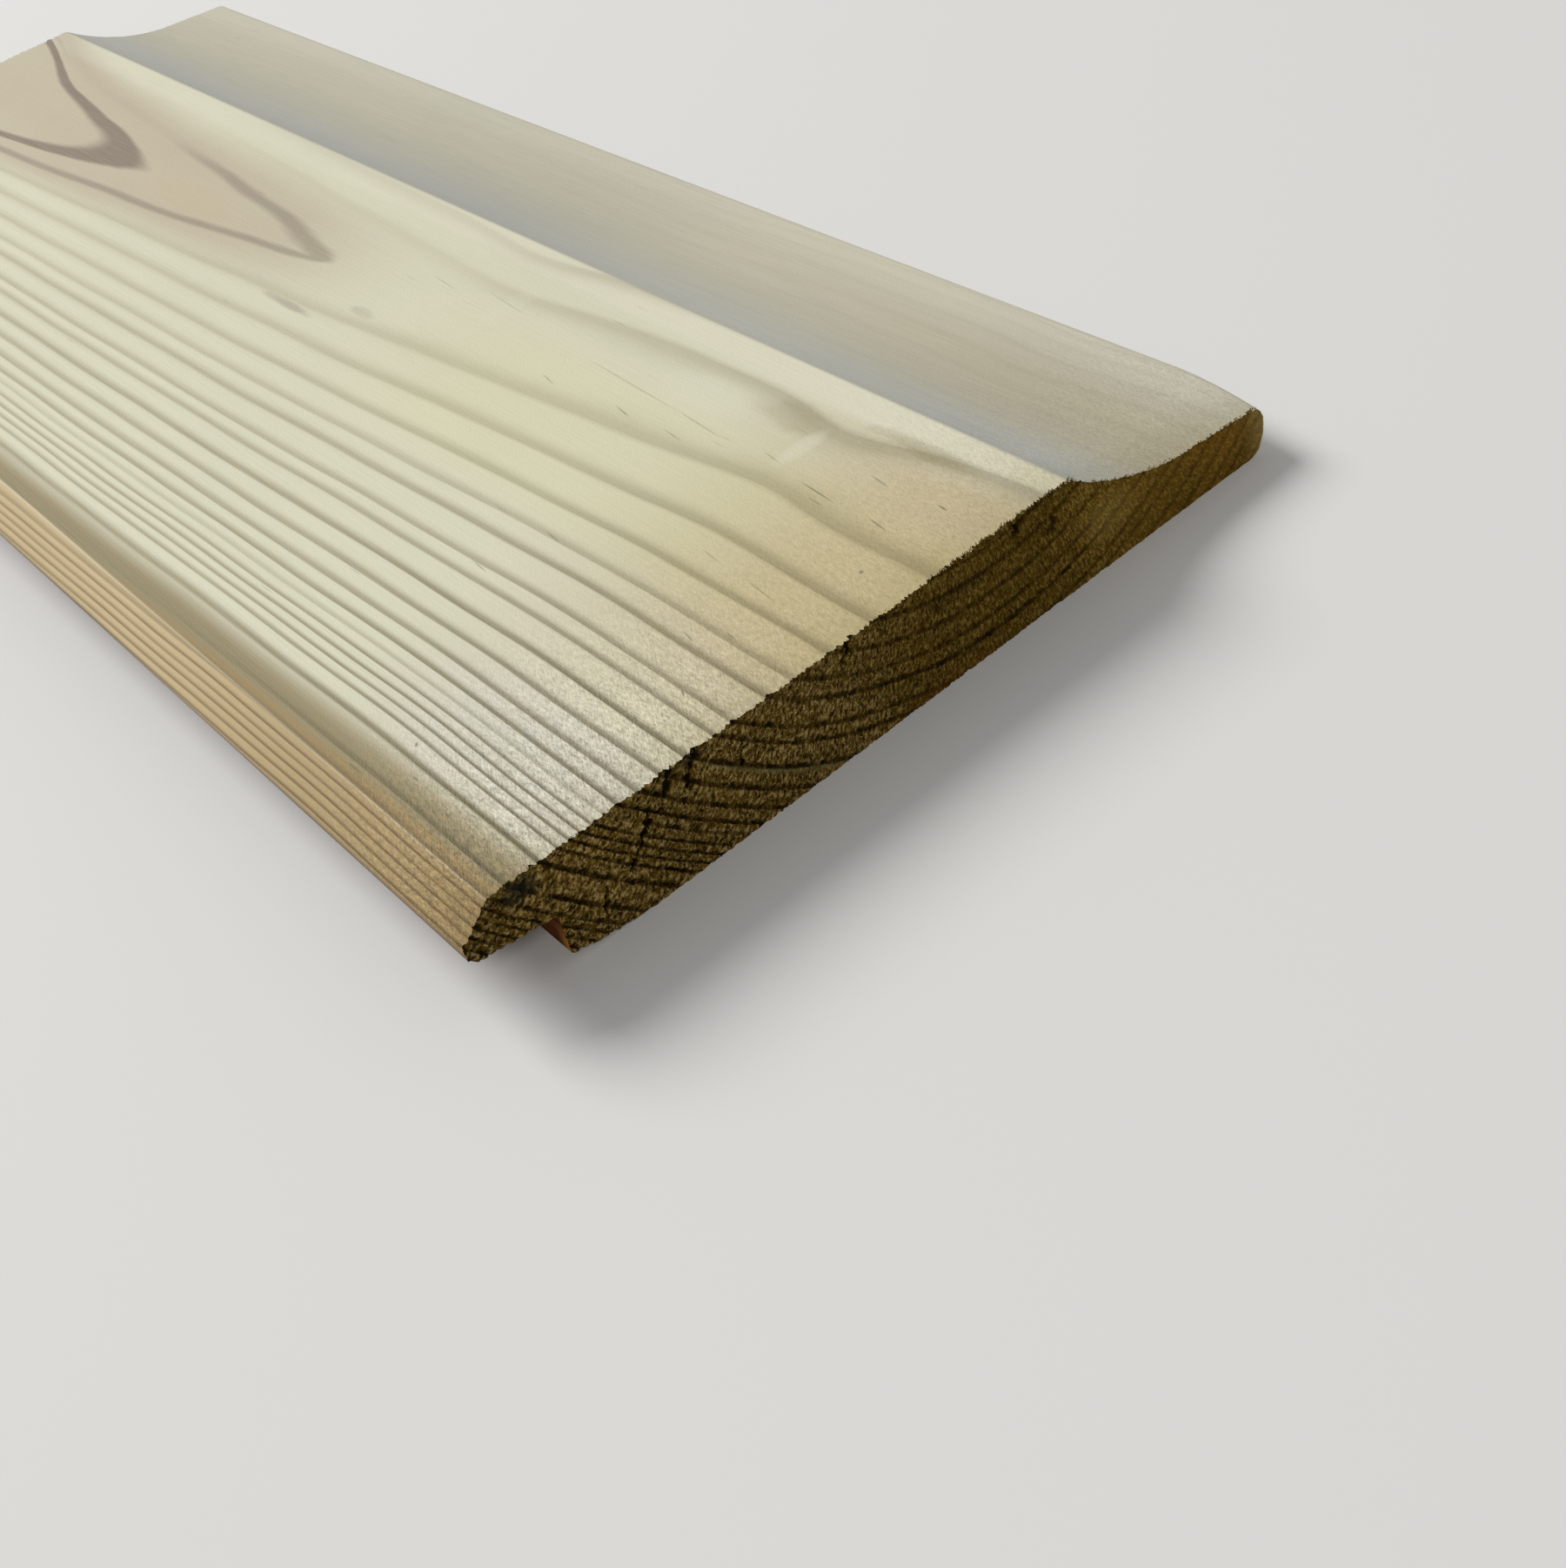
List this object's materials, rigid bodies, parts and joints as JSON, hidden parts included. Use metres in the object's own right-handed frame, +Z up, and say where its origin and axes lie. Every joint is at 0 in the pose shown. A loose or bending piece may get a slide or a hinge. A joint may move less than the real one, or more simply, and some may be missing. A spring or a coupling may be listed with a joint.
{
  "type": "shiplap board",
  "caption": "Short length of softwood shiplap cladding board with a scooped tongue on one long edge and a bevelled lapping lip over a back rebate on the other.",
  "frame": {"origin": "middle of the board's length and width, on the plane of its back", "axes": "+X along the grain, +Y across the board from the bevelled lip to the tongue, +Z up out of the weather face"},
  "size_m": [0.28, 0.12, 0.015],
  "materials": {
    "treated_softwood": "planed faces and sawn ends, pressure treated, unpainted"
  },
  "bodies": {
    "root": {"shiplap_board": "treated_softwood"}
  },
  "joints": []
}
